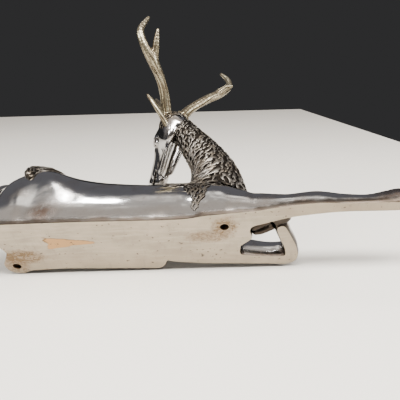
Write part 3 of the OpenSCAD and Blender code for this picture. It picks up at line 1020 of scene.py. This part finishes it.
head_block = head_shape()
head = cast("head_casting", head_block, 4)
give_hollow_shade_and_grime(head, head_block)
crown = core_points(head, lambda x, y, z: (x < 9) & (z > -2) & (x < 9 - 0.5 * np.abs(y)))
crown = scatter(crown, 2.2, 51)
poll = hair_piece("poll_locks", [blades(
    head_block, crown, lambda p: np.array([-1.0, 0, -0.35]), 5.5, 2.1, 1.3, 0.45, 52)])
for piece in (head, poll):
    set_down(piece, HEAD_PLACE)
finish_piece(head, "plated_body", [CHROME], "head")
finish_piece(poll, "chased_hair", [HAIR])
finish_piece(ear_piece("ear_left_casting", 1, (-15, 12, 14)), "dull_horn", [HORN], "ear_left")
finish_piece(ear_piece("ear_right_casting", -1, (-2, -13, 24)), "dull_horn", [HORN], "ear_right")
for side in ("left", "right"):
    finish_piece(antler_piece(side), "dull_horn", [HORN], "antler_" + side)
tail_core, tail_locks = tail_pieces()
finish_piece(tail_core, "chased_hair", [HAIR], "tail")
finish_piece(tail_locks, "chased_hair", [HAIR])

for node in frame["nodes"].values():
    if not node.hide_render:
        node.data.materials.clear()
        node.data.materials.append(STEEL)


# Floor, light and camera. The stag lies tilted on its left side, so in the row frame the floor tilts.

FLOOR_TILT = math.radians(26)
FLOOR_GAP = 39.1                   # from the front stud hole to the floor along +Y
UP = Vector((0, -math.cos(FLOOR_TILT), math.sin(FLOOR_TILT)))
AWAY = Vector((0, math.sin(FLOOR_TILT), math.cos(FLOOR_TILT)))
EYE = Vector((-13.5, -170.9, -152.4)) * MM
LOOK_DOWN = math.radians(18.3)
ROLL = math.radians(1.69)
FOOT = Vector((0, FLOOR_GAP, 0)) * MM


def on_floor(across, away, up=0.0):
    """A point given in metres from the spot on the floor below the camera."""
    below = EYE - UP * (EYE - FOOT).dot(UP)
    return below + Vector((across, 0, 0)) + AWAY * away + UP * up


def pale_floor():
    s = Shader("pale_floor")
    haze = s.noise(3, 3)
    colour = s.mix(haze, (0.78, 0.755, 0.70), (0.85, 0.82, 0.765))
    s.bump((s.noise(220, 3), 0.05, 0.2))
    s.done(colour, 0.0, 0.55)
    clear = s.node("ShaderNodeBsdfTransparent")
    side = s.node("ShaderNodeMixShader")
    s.feed(side.inputs[0], s.node("ShaderNodeNewGeometry").outputs["Backfacing"])
    s.feed(side.inputs[1], s.surface.outputs[0])
    s.feed(side.inputs[2], clear.outputs[0])
    s.feed(s.tree.nodes["Material Output"].inputs["Surface"], side.outputs[0])
    return s.material


def make_floor():
    mesh = bpy.data.meshes.new("floor")
    outline = ((-1.3, -0.5), (1.3, -0.5), (1.3, 0.2), (0.324, 0.6), (0.298, 1.18), (-1.3, 1.22))
    corners = [on_floor(*corner) for corner in outline]
    mesh.from_pydata([list(c) for c in corners], [], [list(range(len(corners)))])
    mesh.materials.append(pale_floor())
    floor = bpy.data.objects.new("floor", mesh)
    bpy.context.scene.collection.objects.link(floor)


def softbox(name, place, target, size, watts, colour=(1, 1, 1)):
    light = bpy.data.lights.new(name, "AREA")
    light.shape, light.size, light.size_y = "RECTANGLE", size[0], size[1]
    light.energy, light.color = watts, colour
    lamp = bpy.data.objects.new(name, light)
    lamp.location = place
    lamp.rotation_euler = (target - place).to_track_quat("-Z", "Y").to_euler()
    bpy.context.scene.collection.objects.link(lamp)


def make_world():
    """Plain studio: a dark wall beyond the object, a bright ceiling, and grey behind the camera."""
    world = bpy.data.worlds.new("studio")
    bpy.context.scene.world = world
    world.use_nodes = True
    n = Nodes(world.node_tree, "Generated")

    def share(direction, start, end):
        """How far a direction of view lies towards another, from 0 at start to 1 at end."""
        dot = n.node("ShaderNodeVectorMath", operation="DOT_PRODUCT")
        n.feed(dot.inputs[0], n.place)
        n.feed(dot.inputs[1], direction)
        return n.ramp(dot.outputs["Value"], start, end)

    beyond = share(AWAY, 0.02, 0.30)
    left_low = n.times(share(Vector((-1, 0, 0)), 0.5, 0.9), share(UP, 0.6, 0.3))
    behind_low = n.times(share(-AWAY, 0.2, 0.7), share(UP, 0.75, 0.35))
    bright = n.mix(n.ramp(n.noise(6.5, 2, 0.5), 0.46, 0.62), (0.50, 0.475, 0.45), (1.35, 1.30, 1.22))
    colour = n.mix(share(UP, 0.2, 0.8), (0.33, 0.31, 0.285), (0.50, 0.46, 0.42))
    for where, paint in (
            (left_low, (0.07, 0.07, 0.075)),
            (behind_low, (0.10, 0.095, 0.09)),
            (n.times(beyond, share(UP, 0.998, 0.97)), bright),
            (n.times(beyond, share(UP, 0.885, 0.845)), (0.15, 0.148, 0.16)),
            (n.times(beyond, share(UP, 0.30, 0.18)), (0.035, 0.035, 0.036))):
        colour = n.mix(where, colour, paint)
    n.feed(n.tree.nodes["Background"].inputs["Color"], colour)


def make_camera():
    camera = bpy.data.objects.new("camera", bpy.data.cameras.new("camera"))
    camera.data.lens, camera.data.sensor_width = 36, 36
    camera.data.clip_start, camera.data.clip_end = 0.01, 20
    bpy.context.scene.collection.objects.link(camera)
    forward = AWAY * math.cos(LOOK_DOWN) - UP * math.sin(LOOK_DOWN)
    level = Vector((1, 0, 0))
    up = level.cross(forward)
    right = math.cos(ROLL) * level - math.sin(ROLL) * up
    up = math.sin(ROLL) * level + math.cos(ROLL) * up
    camera.matrix_world = Matrix((right, up, -forward)).transposed().to_4x4()
    camera.location = EYE
    bpy.context.scene.camera = camera


make_floor()
make_world()
make_camera()
subject = Vector((-0.02, 0, 0.03))
softbox("top", on_floor(0.1, -0.22, 0.85), subject, (1.0, 0.25), 15, (1, 0.985, 0.96))
softbox("left", on_floor(-0.8, -0.1, 0.55), subject, (0.4, 0.4), 4)
softbox("right", on_floor(0.8, 0.1, 0.45), subject, (0.25, 0.4), 3)
softbox("window", on_floor(-0.30, 0.60, 0.95), subject, (0.12, 0.10), 0.6)
scene = bpy.context.scene
scene.view_settings.view_transform = "AgX"
scene.view_settings.look = "AgX - Medium High Contrast"
scene.view_settings.exposure = 0.25
